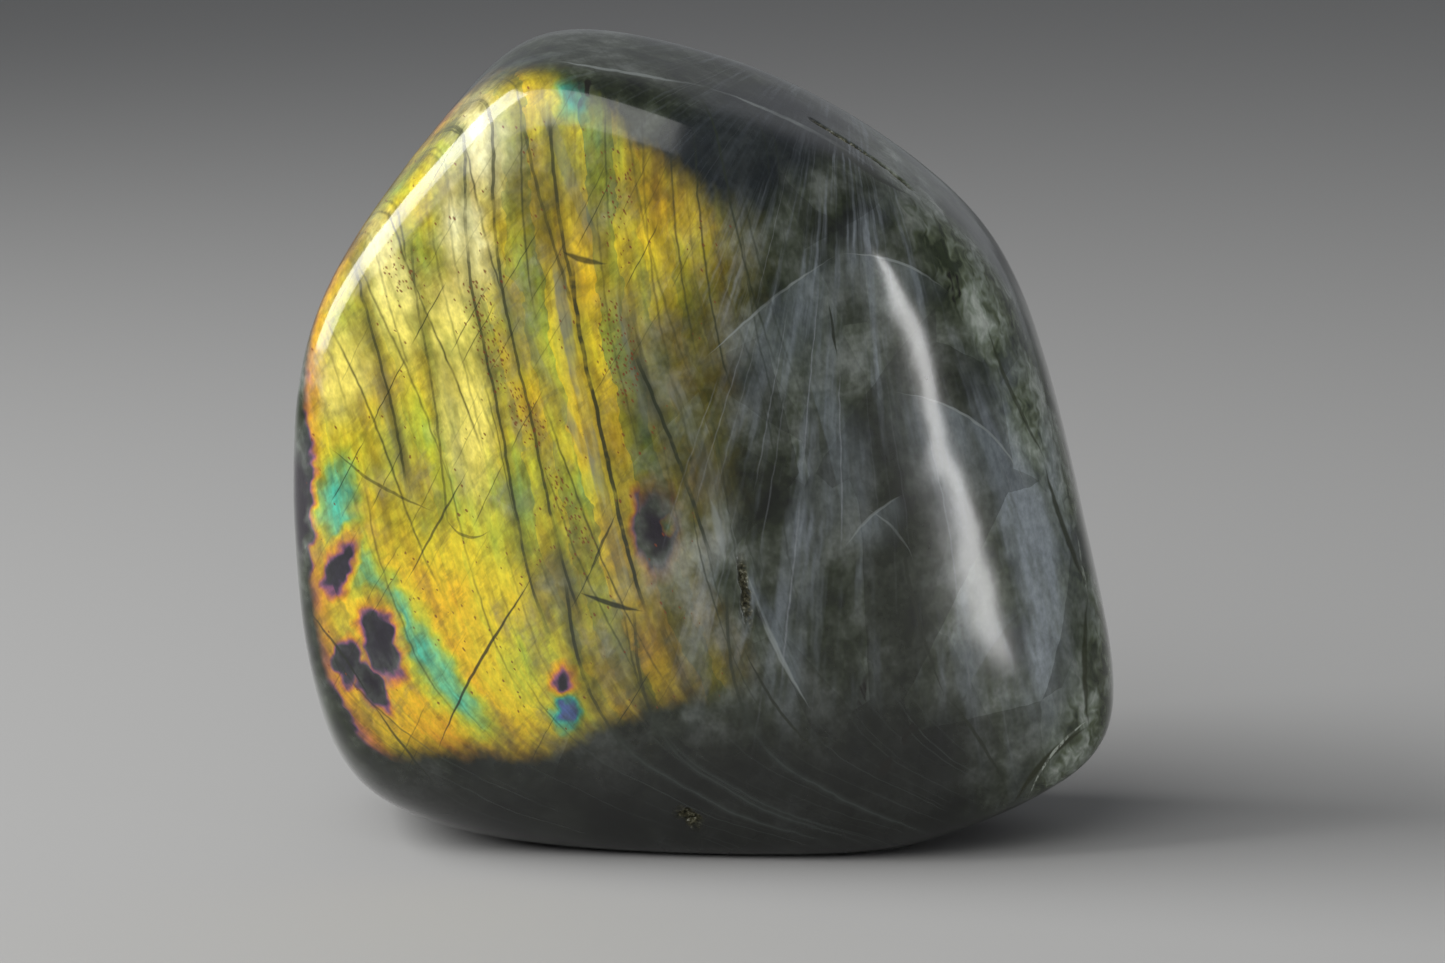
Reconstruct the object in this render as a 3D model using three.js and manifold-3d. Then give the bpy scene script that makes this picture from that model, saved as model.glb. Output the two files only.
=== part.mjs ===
// A polished labradorite, a free form that stands upright on a small sawn and polished base.
// The stone is one solid piece of feldspar. It was ground on a wheel into broad, nearly flat faces, and
// then tumbled, which rounded every edge between them and left a few natural crevices open.
//
// Millimetres, +Z up, +X to the right of someone who faces the colourful side, and +Y away from them.
// The origin is the middle of the stone's outline seen from above, at the height of its base.
import * as THREE from "three";
import { mergeVertices } from "three/addons/utils/BufferGeometryUtils.js";
import Module from "manifold-3d";

const wasm = await Module();
wasm.setup();

// Every ground face is measured from one point inside the stone, this high above the base.
const HEART_HEIGHT = 40;
// The sawn base lies a hair below the level at which it is finally cut flat.
const BASE_DISTANCE = 40.05;
// The higher the number, the tighter the rounding: tumbled edges are soft, the sawn edge is crisp.
const TUMBLED_EDGE = 13;
const SAWN_EDGE = 60;

// Azimuth 0 faces the viewer and 90 faces right, elevation 90 faces up, in degrees.
// Distance is from the heart of the stone to the plane of the face, in millimetres.
const GROUND_FACES = [
  { name: "flash face", azimuth: -8, elevation: 4, distance: 19 },
  { name: "front right", azimuth: 16, elevation: 2, distance: 19.5 },
  { name: "right side", azimuth: 46, elevation: 13, distance: 30 },
  { name: "upper left", azimuth: -82, elevation: 40, distance: 38.25 },
  { name: "left side", azimuth: -93, elevation: 2, distance: 38.75 },
  { name: "lower left", azimuth: -77, elevation: -19, distance: 45.75 },
  { name: "left foot", azimuth: -67, elevation: -65, distance: 49.5 },
  { name: "top", azimuth: -8, elevation: 83, distance: 39.75 },
  { name: "top right", azimuth: 56, elevation: 66, distance: 33 },
  { name: "shoulder", azimuth: 86, elevation: 49, distance: 32 },
  { name: "right rim", azimuth: 87, elevation: 15, distance: 33.25 },
  { name: "right heel", azimuth: 93, elevation: -19, distance: 51.75 },
  { name: "right foot", azimuth: 79, elevation: -61, distance: 47.75 },
  { name: "under right", azimuth: 66, elevation: -72, distance: 48 },
  { name: "under left", azimuth: -84, elevation: -80, distance: 44 },
  { name: "belly", azimuth: 0, elevation: -90, distance: 52 },
  { name: "front foot", azimuth: -4, elevation: -26, distance: 28.5 },
  { name: "back", azimuth: 176, elevation: 0, distance: 20.5 },
  { name: "back left", azimuth: -140, elevation: 12, distance: 27 },
  { name: "back right", azimuth: 138, elevation: -6, distance: 31.5 },
  { name: "back top", azimuth: 170, elevation: 48, distance: 33 },
  { name: "back foot", azimuth: 178, elevation: -24, distance: 31 },
];

// Crevices that grinding didn't reach the bottom of. Each runs between two directions seen from the
// heart, given as [azimuth, elevation], and is a thin lens cut into the polished skin.
const CREVICES = [
  { name: "lower right", from: [88, -35], to: [79, -49], width: 1.6, depth: 0.8 },
  { name: "top seam", from: [62, 69], to: [68, 49], width: 1.1, depth: 0.6 },
  { name: "front", from: [10, -26], to: [12, -40], width: 1.3, depth: 0.6 },
  { name: "foot pit", from: [-9, -67], to: [-3, -69], width: 2.2, depth: 0.7 },
];
const LENS_AROUND = 14;
const LENS_ALONG = 10;

// 20 x (SKIN_DETAIL + 1) squared triangles cover the whole stone.
const SKIN_DETAIL = 19;

function direction(azimuth, elevation) {
  const a = THREE.MathUtils.degToRad(azimuth);
  const e = THREE.MathUtils.degToRad(elevation);
  return new THREE.Vector3(Math.sin(a) * Math.cos(e), -Math.cos(a) * Math.cos(e), Math.sin(e));
}

const faceNormals = GROUND_FACES.map((face) => direction(face.azimuth, face.elevation));

// Distance from the heart to the skin in a unit direction. Each plane alone would put the skin at
// distance / cosine; the power sum takes the nearest plane and rounds over the edges between them.
function skinDistance(unit) {
  let sum = 0;
  faceNormals.forEach((normal, i) => {
    const reach = Math.max(0, normal.dot(unit)) / GROUND_FACES[i].distance;
    sum += reach ** TUMBLED_EDGE;
  });
  const tumbled = sum ** (1 / TUMBLED_EDGE);
  const sawn = Math.max(0, -unit.z) / BASE_DISTANCE;
  return 1 / (tumbled ** SAWN_EDGE + sawn ** SAWN_EDGE) ** (1 / SAWN_EDGE);
}

function skinPoint(unit) {
  return unit.clone().multiplyScalar(skinDistance(unit)).setZ(unit.z * skinDistance(unit) + HEART_HEIGHT);
}

function asSolid(geometry) {
  const bare = geometry.clone();
  bare.deleteAttribute("normal");
  bare.deleteAttribute("uv");
  const merged = mergeVertices(bare, 1e-4);
  return new wasm.Manifold(
    new wasm.Mesh({
      numProp: 3,
      vertProperties: merged.attributes.position.array,
      triVerts: new Uint32Array(merged.index.array),
    }),
  );
}

function asGeometry(solid) {
  const mesh = solid.getMesh();
  const geometry = new THREE.BufferGeometry();
  geometry.setAttribute("position", new THREE.BufferAttribute(new Float32Array(mesh.vertProperties), 3));
  geometry.setIndex(new THREE.BufferAttribute(new Uint32Array(mesh.triVerts), 1));
  geometry.computeVertexNormals();
  return geometry;
}

// The tumbled body: an even ball of triangles, each vertex moved out to the skin.
function tumbledBody() {
  const ball = new THREE.IcosahedronGeometry(1, SKIN_DETAIL);
  const position = ball.getAttribute("position");
  for (let i = 0; i < position.count; i++) {
    const point = skinPoint(new THREE.Vector3().fromBufferAttribute(position, i).normalize());
    position.setXYZ(i, point.x, point.y, point.z);
  }
  return asSolid(ball);
}

// Everything below the base plane, as a block that is larger than the stone.
function belowBase() {
  const side = 4 * HEART_HEIGHT;
  return asSolid(new THREE.BoxGeometry(side, side, side).translate(0, 0, -side / 2));
}

// One crevice: a ball squeezed into a lens, its length along the skin and its depth into it.
function creviceLens({ from, to, width, depth }) {
  const start = skinPoint(direction(...from));
  const end = skinPoint(direction(...to));
  const along = end.clone().sub(start);
  const middle = direction((from[0] + to[0]) / 2, (from[1] + to[1]) / 2);
  const centre = skinPoint(middle);
  const side = new THREE.Vector3().crossVectors(middle, along).normalize();
  const lengthwise = along.clone().normalize();
  const inward = new THREE.Vector3().crossVectors(lengthwise, side);
  const place = new THREE.Matrix4().makeBasis(lengthwise, side, inward).setPosition(centre);
  const lens = new THREE.SphereGeometry(1, LENS_AROUND, LENS_ALONG);
  lens.scale(along.length() / 2, width / 2, depth);
  return asSolid(lens.applyMatrix4(place));
}

// The stone in its own frame: cut flat at the base, crevices opened, outline centred over the origin.
function stoneGeometry() {
  let stone = tumbledBody().subtract(belowBase());
  for (const crevice of CREVICES) stone = stone.subtract(creviceLens(crevice));
  const geometry = asGeometry(stone);
  geometry.computeBoundingBox();
  const { min, max } = geometry.boundingBox;
  return geometry.translate(-(min.x + max.x) / 2, -(min.y + max.y) / 2, -min.z);
}

function labradorite() {
  const polish = new THREE.MeshStandardMaterial({ color: 0x4d5650, roughness: 0.12, metalness: 0 });
  const stone = new THREE.Mesh(stoneGeometry(), polish);
  stone.name = "labradorite";
  return stone;
}

const part = new THREE.Group();
part.add(labradorite());

export default part;
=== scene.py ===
import math

import bmesh
import bpy
from mathutils import Matrix, Vector, noise


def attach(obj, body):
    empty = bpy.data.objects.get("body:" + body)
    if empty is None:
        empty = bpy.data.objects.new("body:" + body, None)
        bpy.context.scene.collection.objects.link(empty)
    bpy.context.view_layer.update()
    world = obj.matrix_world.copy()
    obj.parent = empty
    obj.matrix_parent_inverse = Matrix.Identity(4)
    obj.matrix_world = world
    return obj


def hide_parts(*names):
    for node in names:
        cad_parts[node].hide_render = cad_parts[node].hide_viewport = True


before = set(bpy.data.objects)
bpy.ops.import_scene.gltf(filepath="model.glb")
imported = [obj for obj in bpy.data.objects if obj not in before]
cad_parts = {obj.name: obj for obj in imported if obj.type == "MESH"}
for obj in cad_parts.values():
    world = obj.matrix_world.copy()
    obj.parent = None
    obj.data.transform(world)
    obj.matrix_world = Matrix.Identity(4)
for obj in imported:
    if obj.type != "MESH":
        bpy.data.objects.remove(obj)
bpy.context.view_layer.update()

# The stone: one piece of labradorite, a feldspar, standing on a small flat that was sawn under it.
# It was ground on a wheel into broad faces, then tumbled and polished until every edge went soft.
# Its colour flash, lamellae, cracks, veils and specks lie in the stone, under the polish.

# All lengths of the stone are in millimetres, and its mesh is brought to metres at the end.
METRES = 0.001
HEART = Vector((-0.195, -0.983, 40))
BASE_DISTANCE = 40.05
TUMBLED_EDGE = 13
SAWN_EDGE = 60

# A face is its azimuth, elevation and distance from the heart. Azimuth 0 faces the viewer.
GROUND_FACES = {
    "flash face": (-8, 4, 19),
    "front right": (16, 2, 19.5),
    "right side": (46, 13, 30),
    "upper left": (-82, 40, 38.25),
    "left side": (-93, 2, 38.75),
    "lower left": (-77, -19, 45.75),
    "left foot": (-67, -65, 49.5),
    "top": (-8, 83, 39.75),
    "top right": (56, 66, 33),
    "shoulder": (86, 49, 32),
    "right rim": (87, 15, 33.25),
    "right heel": (93, -19, 51.75),
    "right foot": (79, -61, 47.75),
    "under right": (66, -72, 48),
    "under left": (-84, -80, 44),
    "belly": (0, -90, 52),
    "front foot": (-4, -26, 28.5),
    "back": (176, 0, 20.5),
    "back left": (-140, 12, 27),
    "back right": (138, -6, 31.5),
    "back top": (170, 48, 33),
    "back foot": (178, -24, 31),
}

# A crevice runs from one direction to another, both seen from the heart, and is left unpolished.
CREVICES = {
    "lower right": ((91, -30), (78, -50), 2.4, 0.8),
    "top seam": ((62, 69), (68, 49), 1.1, 0.6),
    "front": ((10, -26), (12, -39), 1.0, 0.4),
    "foot pit": ((-9, -67), (-3, -69), 1.6, 0.5),
}


def direction(azimuth, elevation):
    a = math.radians(azimuth)
    e = math.radians(elevation)
    return Vector((math.sin(a) * math.cos(e), -math.cos(a) * math.cos(e), math.sin(e)))


face_planes = [(direction(a, e), distance) for a, e, distance in GROUND_FACES.values()]


def skin_distance(unit):
    tumbled = sum(max(0, normal.dot(unit) / far) ** TUMBLED_EDGE for normal, far in face_planes)
    tumbled = tumbled ** (1 / TUMBLED_EDGE)
    sawn = max(0, -unit.z) / BASE_DISTANCE
    return 1 / (tumbled**SAWN_EDGE + sawn**SAWN_EDGE) ** (1 / SAWN_EDGE)


# Hand polishing leaves the faces very slightly wavy, which is what bends the highlights on them.
WAVE_HEIGHT = 0.14
WAVE_LENGTH = 15
FINE_WAVE_HEIGHT = 0.03
FINE_WAVE_LENGTH = 4.5


def waviness(point):
    broad = WAVE_HEIGHT * noise.noise(point / WAVE_LENGTH)
    fine = FINE_WAVE_HEIGHT * noise.noise(point / FINE_WAVE_LENGTH + Vector((7, 3, 5)))
    return broad + fine


# How far along a run a point is, from 0 to 1, and how far it is from the run.
def off_run(point, start, end):
    along = end - start
    share = min(1, max(0, (point - start).dot(along) / along.length_squared))
    return share, (point - start - along * share).length


# How deep a crevice cuts at a point: a ragged groove, deepest in its middle, with grains in it.
RAGGEDNESS = 0.55
RAGS_PER_MM = 1.1
GRAININESS = 0.6
GRAINS_PER_MM = 2.6


def crevice_depth(point):
    deepest = 0
    for start, end, width, depth in crevice_runs:
        share, away = off_run(point, start, end)
        ragged = 1 + RAGGEDNESS * noise.noise(point * RAGS_PER_MM)
        away = away / (0.5 * width * ragged)
        taper = min(1, 4 * share * (1 - share) + 0.25)
        if away < 1:
            grain = 0.75 + GRAININESS * noise.noise(point * GRAINS_PER_MM)
            deepest = max(deepest, depth * taper * (1 - away * away) ** 0.7 * grain)
    return deepest


def on_skin(unit):
    return HEART + unit * skin_distance(unit)


crevice_runs = [
    (on_skin(direction(*start)), on_skin(direction(*end)), width, depth)
    for start, end, width, depth in CREVICES.values()
]

SKIN_STEPS = 7
CREVICE_MARGIN = 1.6

skin = bmesh.new()
bmesh.ops.create_icosphere(skin, subdivisions=SKIN_STEPS, radius=1)
for vertex in skin.verts:
    vertex.co = on_skin(vertex.co.normalized())


# The crevices are finer than the even skin, so the triangles round them are split twice.
def near_crevice(edge):
    middle = (edge.verts[0].co + edge.verts[1].co) / 2
    return any(
        off_run(middle, start, end)[1] < width / 2 + CREVICE_MARGIN
        for start, end, width, _ in crevice_runs
    )


CREVICE_SPLITS = 2
for _ in range(CREVICE_SPLITS):
    close = [edge for edge in skin.edges if near_crevice(edge)]
    bmesh.ops.subdivide_edges(skin, edges=close, cuts=1, use_grid_fill=True)
    bmesh.ops.triangulate(skin, faces=[face for face in skin.faces if len(face.verts) > 3])

# The bottoms of the crevices were never reached by the polish, which the material reads. The
# waves die out over the lowest millimetres, so that the sawn flat stays flat.
UNPOLISHED_DEPTH = 0.2
WAVES_FROM = 2
unpolished = skin.verts.layers.float.new("unpolished")
for vertex in skin.verts:
    unit = (vertex.co - HEART).normalized()
    point = on_skin(unit)
    settled = min(1, max(0, point.z / WAVES_FROM))
    depth = crevice_depth(point)
    vertex[unpolished] = min(1, depth / UNPOLISHED_DEPTH)
    point += unit * (waviness(point) * settled - depth)
    vertex.co = Vector((point.x, point.y, max(0, point.z))) * METRES
bmesh.ops.recalc_face_normals(skin, faces=skin.faces)
for face in skin.faces:
    face.smooth = True

stone_mesh = bpy.data.meshes.new("labradorite_stone")
skin.to_mesh(stone_mesh)
skin.free()
stone = bpy.data.objects.new("labradorite_stone", stone_mesh)
bpy.context.scene.collection.objects.link(stone)


# Lays shader nodes in one tree and wires each input to a socket or sets it to a value.
class Bench:
    def __init__(self, tree):
        self.tree = tree

    def lay(self, kind, inputs=None, output=0, **settings):
        node = self.tree.nodes.new(kind)
        for name, value in settings.items():
            setattr(node, name, value)
        for key, value in (inputs or {}).items():
            if isinstance(value, bpy.types.NodeSocket):
                self.tree.links.new(value, node.inputs[key])
            else:
                node.inputs[key].default_value = value
        return node.outputs[output]

    def calc(self, operation, a, b=0.0, c=0.0):
        return self.lay("ShaderNodeMath", {0: a, 1: b, 2: c}, operation=operation)

    def vector(self, operation, a, b):
        return self.lay("ShaderNodeVectorMath", {0: a, 1: b}, operation=operation)

    def scaled(self, a, factor):
        inputs = {0: a, "Scale": factor}
        return self.lay("ShaderNodeVectorMath", inputs, operation="SCALE")

    # 0 below low and 1 above high, or the other way round, with soft ends.
    def soft(self, value, low, high):
        inputs = {"Value": value, "From Min": low, "From Max": high}
        return self.lay("ShaderNodeMapRange", inputs, interpolation_type="SMOOTHSTEP")

    def remap(self, value, low, high, to_low, to_high):
        inputs = {0: value, 1: low, 2: high, 3: to_low, 4: to_high}
        return self.lay("ShaderNodeMapRange", inputs)

    # Inputs 6 and 7 of a mix node are its two colours, and its output 2 is the mixed one.
    def mix(self, share, a, b):
        return self.lay("ShaderNodeMix", {0: share, 6: a, 7: b}, 2, data_type="RGBA")

    def cloud(self, place, scale, detail, roughness=0.5, output=0, flat=False):
        inputs = {0: place, "Scale": scale, "Detail": detail, "Roughness": roughness}
        dimensions = "2D" if flat else "3D"
        return self.lay("ShaderNodeTexNoise", inputs, output, noise_dimensions=dimensions)

    def cells(self, place, scale, output="Distance", flat=False):
        inputs = {0: place, "Scale": scale}
        dimensions = "2D" if flat else "3D"
        return self.lay("ShaderNodeTexVoronoi", inputs, output, voronoi_dimensions=dimensions)

    def pair(self, a, b):
        return self.lay("ShaderNodeCombineXYZ", {0: a, 1: b})

    # Draws a pattern out to the given lengths, the last of them along a line that leans right.
    def stretched(self, place, lengths, turn):
        inputs = {0: place, "Scale": lengths, "Rotation": (0, math.radians(turn), 0)}
        return self.lay("ShaderNodeMapping", inputs, vector_type="TEXTURE")

    def curve(self, value, points):
        node = self.tree.nodes.new("ShaderNodeFloatCurve")
        line = node.mapping.curves[0]
        line.points[0].location = points[0]
        line.points[1].location = points[-1]
        for point in points[1:-1]:
            line.points.new(*point)
        node.mapping.update()
        self.tree.links.new(value, node.inputs["Value"])
        return node.outputs[0]

    # Reads a number off a smooth line through points, each a place and the number there. The line
    # is drawn over the given spans of places and numbers.
    def profile(self, value, points, places, numbers):
        reach = places[1] - places[0]
        rise = numbers[1] - numbers[0]
        shares = [((at - places[0]) / reach, (number - numbers[0]) / rise) for at, number in points]
        line = self.curve(self.remap(value, *places, 0, 1), shares)
        return self.remap(line, 0, 1, *numbers)

    def ramp(self, value, stops):
        node = self.tree.nodes.new("ShaderNodeValToRGB")
        elements = node.color_ramp.elements
        elements[0].position, elements[0].color = stops[0][0], (*stops[0][1], 1)
        elements[1].position, elements[1].color = stops[-1][0], (*stops[-1][1], 1)
        for position, color in stops[1:-1]:
            elements.new(position).color = (*color, 1)
        self.tree.links.new(value, node.inputs[0])
        return node.outputs[0]


def group_with(name, inputs, outputs):
    tree = bpy.data.node_groups.new(name, "ShaderNodeTree")
    for label, kind in inputs:
        tree.interface.new_socket(label, in_out="INPUT", socket_type=kind)
    for label, kind in outputs:
        tree.interface.new_socket(label, in_out="OUTPUT", socket_type=kind)
    source = tree.nodes.new("NodeGroupInput").outputs
    sink = tree.nodes.new("NodeGroupOutput").inputs
    return tree, source, sink


NUMBER = "NodeSocketFloat"

# A lamella: one thin twin plane that shows as a long line. Line says which one it is, across the
# stack of them, and Lean how much it strays from its neighbours with height.
lamella, source, sink = group_with(
    "lamella",
    [("Across", NUMBER), ("Height", NUMBER), ("Line", NUMBER), ("Lean", NUMBER)]
    + [("Middle", NUMBER), ("Half", NUMBER), ("Width", NUMBER), ("Outer", NUMBER)],
    [("Mask", NUMBER)],
)
bench = Bench(lamella)
off_line = bench.calc("MULTIPLY_ADD", source["Height"], source["Lean"], source["Line"])
off_line = bench.calc("ABSOLUTE", bench.calc("SUBTRACT", off_line, source["Across"]))
off_middle = bench.calc("ABSOLUTE", bench.calc("SUBTRACT", source["Height"], source["Middle"]))
body = bench.soft(off_line, source["Outer"], source["Width"])
shade = bench.soft(off_line, bench.calc("MULTIPLY_ADD", source["Outer"], 2, 0.5), 0)
body = bench.calc("MAXIMUM", body, bench.calc("MULTIPLY", shade, 0.52))
ends = bench.soft(off_middle, source["Half"], bench.calc("SUBTRACT", source["Half"], 4))
lamella.links.new(bench.calc("MULTIPLY", body, ends), sink["Mask"])

# A crack: a healed break that shows as a fine line, straight or bowed, tapering to both ends.
# Run and Off turn a place into steps of -1 to 1 along the crack and across its width.
CRACK_LABELS = ["Right", "Height", "Run Right", "Run Up", "Run From"]
CRACK_LABELS += ["Off Right", "Off Up", "Off From", "Bow"]
crack, source, sink = group_with(
    "crack", [(label, NUMBER) for label in CRACK_LABELS], [("Mask", NUMBER)]
)
bench = Bench(crack)


# The hump is 1 in the middle of the line and 0 at both ends, and off_line counts from the line.
def read_line(bench, source):
    along = bench.calc("MULTIPLY_ADD", source["Height"], source["Run Up"], source["Run From"])
    along = bench.calc("MULTIPLY_ADD", source["Right"], source["Run Right"], along)
    off_line = bench.calc("MULTIPLY_ADD", source["Height"], source["Off Up"], source["Off From"])
    off_line = bench.calc("MULTIPLY_ADD", source["Right"], source["Off Right"], off_line)
    hump = bench.calc("SUBTRACT", 1, bench.calc("MULTIPLY", along, along))
    off_line = bench.calc("SUBTRACT", off_line, bench.calc("MULTIPLY", hump, source["Bow"]))
    return hump, off_line


hump, off_line = read_line(bench, source)
clear = bench.calc("SUBTRACT", hump, bench.calc("ABSOLUTE", off_line))
crack.links.new(bench.soft(clear, 0, 0.6), sink["Mask"])

# A shell: the milky face of a break, brightest along its edge and fading away on one side of it.
shell, source, sink = group_with(
    "shell", [(label, NUMBER) for label in CRACK_LABELS], [("Mask", NUMBER)]
)
bench = Bench(shell)
hump, off_line = read_line(bench, source)
inside = bench.soft(bench.calc("SUBTRACT", hump, off_line), 0, 1)
shell.links.new(bench.calc("MULTIPLY", inside, bench.soft(off_line, -0.02, 0.02)), sink["Mask"])

# Hatching: many fine parallel lines at chance places, each with its own strength and length.
# Across counts the lines, and Along counts their lengths.
hatching, source, sink = group_with(
    "hatching",
    [("Across", NUMBER), ("Along", NUMBER), ("Width", NUMBER), ("Share", NUMBER)],
    [("Mask", NUMBER)],
)
bench = Bench(hatching)
number = bench.calc("FLOOR", source["Across"])
chance = bench.lay("ShaderNodeTexWhiteNoise", {"W": number}, "Color", noise_dimensions="1D")
shift, start, force = bench.lay("ShaderNodeSeparateColor", {0: chance}).node.outputs
off_line = bench.calc("SUBTRACT", bench.calc("FRACT", source["Across"]), 0.5)
off_line = bench.calc("MULTIPLY_ADD", bench.calc("SUBTRACT", shift, 0.5), 0.6, off_line)
thin = bench.soft(bench.calc("ABSOLUTE", off_line), source["Width"], 0)
run = bench.calc("MULTIPLY_ADD", start, 17, source["Along"])
piece = bench.calc("MULTIPLY_ADD", number, 7.3, bench.calc("FLOOR", run))
kept = bench.lay("ShaderNodeTexWhiteNoise", {"W": piece}, noise_dimensions="1D")
kept = bench.soft(bench.calc("ADD", kept, source["Share"]), 0.8, 1.3)
ends = bench.soft(bench.calc("PINGPONG", run, 0.5), 0.02, 0.25)
force = bench.calc("MULTIPLY", bench.calc("MULTIPLY", kept, ends), bench.soft(force, -0.6, 1))
hatching.links.new(bench.calc("MULTIPLY", thin, force), sink["Mask"])

polish = bpy.data.materials.new("polished_labradorite")
polish.use_nodes = True
polish.node_tree.nodes.clear()
rock = Bench(polish.node_tree)

# Places in the stone are read as millimetres right of, behind and above the heart's foot, turned
# by the ten degrees from which the flash shows best, so that a mark needs only right and up.
LEAN_BACK = math.radians(10)
PER_METRE = 1000
turned = Matrix.Rotation(LEAN_BACK, 3, "X")
foot = turned @ Vector((-HEART.x, -HEART.y, 0)) + Vector((0, HEART.z * math.sin(LEAN_BACK), 0))
object_place = rock.lay("ShaderNodeTexCoord", output="Object")
place = rock.lay("ShaderNodeMapping", {
    0: object_place,
    "Location": foot,
    "Rotation": (LEAN_BACK, 0, 0),
    "Scale": (PER_METRE, PER_METRE, PER_METRE),
})

# Nothing in the stone is quite straight: every mark is read through two gentle warps.
drift = rock.vector("SUBTRACT", rock.cloud(place, 0.05, 0, output="Color"), (0.5, 0.5, 0.5))
jitter = rock.vector("SUBTRACT", rock.cloud(place, 0.6, 1, output="Color"), (0.5, 0.5, 0.5))
bent = rock.vector("ADD", place, rock.scaled(drift, 1.6))
bent = rock.vector("ADD", bent, rock.scaled(jitter, 0.3))
ragged = rock.vector("ADD", bent, rock.scaled(jitter, 1.7))
axes = rock.tree.nodes.new("ShaderNodeSeparateXYZ")
rock.tree.links.new(bent, axes.inputs[0])
right, behind, height = axes.outputs

# The stack of lamellae: nearly upright planes that lean back into the stone and fan out to the
# right below. Across counts millimetres from the middle one.
FAN = [(-3, 27), (-1, 21.9), (4, 7), (11.8, -5.6), (23, -11.9)]
FAN += [(39.7, -16), (55.4, -20), (70.2, -20.6), (80, -20.6)]
fan = rock.profile(height, FAN, (-5, 80), (-25, 35))
leaning = rock.calc("MULTIPLY", rock.calc("ADD", behind, 15), 0.35)
across = rock.calc("ADD", rock.calc("SUBTRACT", right, fan), leaning)
front = rock.soft(behind, 4, -8)
back = rock.soft(behind, -2, 10)


# A lamella's line is where it stands at the height of the heart.
def lamella_mask(line, lean, low, high, width, edge):
    labels = ("Across", "Height", "Line", "Lean", "Middle", "Half", "Width", "Outer")
    middle, half = (low + high) / 2, (high - low) / 2
    values = (across, height, line - HEART.z * lean, lean, middle, half, width, width + edge)
    return rock.lay("ShaderNodeGroup", dict(zip(labels, values)), node_tree=lamella)


def crack_mask(start, end, bow, width, group=crack):
    middle = (Vector(start) + Vector(end)) / 2
    run = Vector(end) - Vector(start)
    along = run * 2 / run.length_squared
    half_width = width + 0.05
    off = Vector((-run.y, run.x)).normalized() / half_width
    values = (right, height, along.x, along.y, -middle.dot(along))
    values += (off.x, off.y, -middle.dot(off), bow / half_width)
    return rock.lay("ShaderNodeGroup", dict(zip(CRACK_LABELS, values)), node_tree=group)


# A blotch: an oval spot round a grain, 1 in its middle and falling evenly to 0 at its edge. It
# reaches right through the stone.
THROUGH = 1000


def blotch_fall(centre, reach, girth, lean):
    inputs = {0: ragged, "Location": (centre[0], 0, centre[1])}
    inputs.update({"Rotation": (0, math.radians(lean), 0), "Scale": (girth, THROUGH, reach)})
    own_place = rock.lay("ShaderNodeMapping", inputs, vector_type="TEXTURE")
    return rock.lay("ShaderNodeTexGradient", {0: own_place}, 1, gradient_type="SPHERICAL")


# A blotch with soft ends, full from a share of its fall on.
def blotch(centre, reach, girth, lean, full):
    return rock.soft(blotch_fall(centre, reach, girth, lean), 0, full)


# Both take the masks one at a time, so that few of them have to be kept while rendering.
def most(masks):
    joined = 0.0
    for mask in masks:
        joined = rock.calc("MAXIMUM", joined, mask)
    return joined


def total(values):
    joined = 0.0
    for value in values:
        joined = rock.calc("ADD", joined, value)
    return joined


def hatching_mask(across_it, along_it, width, share):
    inputs = {"Across": across_it, "Along": along_it, "Width": width, "Share": share}
    return rock.lay("ShaderNodeGroup", inputs, node_tree=hatching)


# Hatching along a straight line at a slope, in lines so far apart and so long.
def hatch(slope, apart, long, width, share):
    a = math.radians(slope)
    across_it = rock.calc("MULTIPLY_ADD", right, -math.sin(a) / apart, 50)
    across_it = rock.calc("MULTIPLY_ADD", height, math.cos(a) / apart, across_it)
    along_it = rock.calc("MULTIPLY", right, math.cos(a) / long)
    along_it = rock.calc("MULTIPLY_ADD", height, math.sin(a) / long, along_it)
    return hatching_mask(across_it, along_it, width, share)


# The place read round a point: turns to either side of straight down, and millimetres from it.
def around(centre):
    aside = rock.calc("SUBTRACT", right, centre[0])
    below = rock.calc("SUBTRACT", centre[1], height)
    turn = rock.calc("ARCTAN2", aside, below)
    far = rock.calc("MULTIPLY_ADD", below, below, rock.calc("MULTIPLY", aside, aside))
    return turn, rock.calc("SQRT", far)


# The flash: where it shows on the front, bounded left and right at each height.
FLASH_LEFT = [(-2, -20), (5, -26.8), (7.2, -30), (9.7, -32.8), (13.5, -34.8), (22.9, -36.7)]
FLASH_LEFT += [(32.3, -37.7), (38.8, -37.6), (48.1, -36.4), (55.6, -33.6), (60.2, -31.2)]
FLASH_LEFT += [(66.6, -26.9), (71, -22), (80, -14)]
FLASH_RIGHT = [(-2, -20), (7, -14), (9.5, -8), (12, 0), (16, 4), (20, 3), (26, 0), (32, 2)]
FLASH_RIGHT += [(40, 2.5), (47, 3), (52, 4.4), (56.5, 4), (60, 1), (63, -3.5), (68, -9.5)]
FLASH_RIGHT += [(71, -13), (80, -18)]


def edge_at_height(points):
    return rock.profile(height, points, (-2, 80), (-40, 20))


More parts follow.
